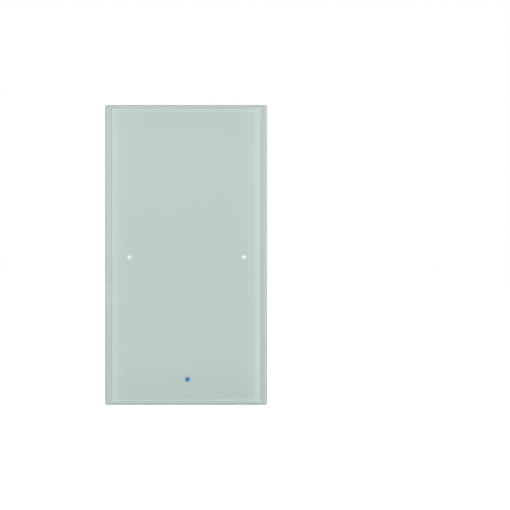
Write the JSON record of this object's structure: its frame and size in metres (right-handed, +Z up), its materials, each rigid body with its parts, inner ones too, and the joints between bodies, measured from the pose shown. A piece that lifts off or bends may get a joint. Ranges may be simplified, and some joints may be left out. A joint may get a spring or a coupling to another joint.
{
  "type": "touch light switch",
  "caption": "Wall touch light switch: tall glass front with two touch zones and small lights, snapped onto a steel plate over a flush relay insert.",
  "frame": {"origin": "centre of the mounting plate, in the plane of the wall", "axes": "+Z up, +X to the right seen from the room, +Y into the wall; the glass faces -Y"},
  "size_m": [0.0864, 0.038, 0.1604],
  "materials": {
    "clear_glass": "polished, faint green tint",
    "printed_film": "printed pale grey-green, seen through the glass",
    "foam_tape": "closed-cell foam with adhesive",
    "frame_plastic": "moulded, fine satin grain",
    "circuit_board": "solder mask over glass laminate",
    "copper": "etched copper",
    "white_guide": "clear acrylic, lit white",
    "blue_guide": "clear acrylic, lit blue",
    "clear_guide": "clear acrylic",
    "diode": "diode package",
    "chip_black": "moulded epoxy",
    "connector_black": "moulded polyamide",
    "gilt_pins": "gilt brass",
    "cover_plastic": "moulded, satin",
    "zinc_steel": "zinc-plated sheet steel",
    "spring_steel": "hardened spring strip",
    "insert_plastic": "moulded, light grey",
    "button_plastic": "red moulded button",
    "relay_plastic": "moulded case",
    "transformer_plastic": "taped winding on a core",
    "capacitor_sleeve": "shrunk sleeve on a can",
    "capacitor_box": "film capacitor box",
    "varistor_blue": "dipped disc",
    "fuse_brown": "moulded fuse case",
    "brass": "tinned brass strip",
    "terminal_steel": "zinc-plated steel"
  },
  "bodies": {
    "base": {"mounting_plate": "zinc_steel", "insert_screws": "zinc_steel", "insert_lid": "insert_plastic", "insert_housing": "insert_plastic", "power_board": "circuit_board", "socket_strip": "connector_black", "microcontroller": "chip_black", "status_led": "diode", "status_light_pipe": "clear_guide", "tact_switch": "connector_black", "relay": "relay_plastic", "supply_transformer": "transformer_plastic", "smoothing_capacitors": "capacitor_sleeve", "mains_capacitor": "capacitor_box", "varistor": "varistor_blue", "fuse": "fuse_brown", "terminal_bars": "brass"},
    "front_unit": {"front_glass": "clear_glass", "decor_film": "printed_film", "bonding_tape": "foam_tape", "front_frame": "frame_plastic", "sensor_board": "circuit_board", "touch_electrodes": "copper", "light_guide_left": "white_guide", "light_guide_right": "white_guide", "light_guide_lower": "blue_guide", "white_leds": "diode", "blue_led": "diode", "touch_controller": "chip_black", "board_passives": "chip_black", "header_base": "connector_black", "header_pins": "gilt_pins", "rear_cover": "cover_plastic", "cover_screws": "zinc_steel", "clip_springs": "spring_steel"},
    "programming_button": {"programming_button": "button_plastic", "switch_plunger": "chip_black"},
    "clamp_screw_1": {"clamp_screw_1": "terminal_steel"},
    "clamp_cage_1": {"clamp_cage_1": "terminal_steel"},
    "clamp_screw_2": {"clamp_screw_2": "terminal_steel"},
    "clamp_cage_2": {"clamp_cage_2": "terminal_steel"},
    "clamp_screw_3": {"clamp_screw_3": "terminal_steel"},
    "clamp_cage_3": {"clamp_cage_3": "terminal_steel"},
    "clamp_screw_4": {"clamp_screw_4": "terminal_steel"},
    "clamp_cage_4": {"clamp_cage_4": "terminal_steel"}
  },
  "joints": [
    {"name": "front_pull_off", "type": "slide", "parent": "base", "child": "front_unit", "axis": [0, -1, 0], "range_m": [0, 0.025]},
    {"name": "button_press", "type": "slide", "parent": "base", "child": "programming_button", "axis": [0, 1, 0], "range_m": [0, 0.0006], "stiffness_N_per_m": 500, "springref_m": -0.0006},
    {"name": "clamp_screw_1_turn", "type": "hinge", "parent": "base", "child": "clamp_screw_1", "pos_m": [-0.0135, 0.0225, -0.0165], "axis": [0, -1, 0], "range_deg": [0, 1800]},
    {"name": "clamp_cage_1_rise", "type": "slide", "parent": "base", "child": "clamp_cage_1", "axis": [0, 1, 0], "range_m": [0, 0.0025]},
    {"name": "clamp_screw_2_turn", "type": "hinge", "parent": "base", "child": "clamp_screw_2", "pos_m": [-0.0045, 0.0225, -0.0165], "axis": [0, -1, 0], "range_deg": [0, 1800]},
    {"name": "clamp_cage_2_rise", "type": "slide", "parent": "base", "child": "clamp_cage_2", "axis": [0, 1, 0], "range_m": [0, 0.0025]},
    {"name": "clamp_screw_3_turn", "type": "hinge", "parent": "base", "child": "clamp_screw_3", "pos_m": [0.0045, 0.0225, -0.0165], "axis": [0, -1, 0], "range_deg": [0, 1800]},
    {"name": "clamp_cage_3_rise", "type": "slide", "parent": "base", "child": "clamp_cage_3", "axis": [0, 1, 0], "range_m": [0, 0.0025]},
    {"name": "clamp_screw_4_turn", "type": "hinge", "parent": "base", "child": "clamp_screw_4", "pos_m": [0.0135, 0.0225, -0.0165], "axis": [0, -1, 0], "range_deg": [0, 1800]},
    {"name": "clamp_cage_4_rise", "type": "slide", "parent": "base", "child": "clamp_cage_4", "axis": [0, 1, 0], "range_m": [0, 0.0025]}
  ],
  "couplings": [
    {"joint": "clamp_screw_1_turn", "follows": "clamp_cage_1_rise", "rad_per_m": 12566},
    {"joint": "clamp_screw_2_turn", "follows": "clamp_cage_2_rise", "rad_per_m": 12566},
    {"joint": "clamp_screw_3_turn", "follows": "clamp_cage_3_rise", "rad_per_m": 12566},
    {"joint": "clamp_screw_4_turn", "follows": "clamp_cage_4_rise", "rad_per_m": 12566}
  ]
}
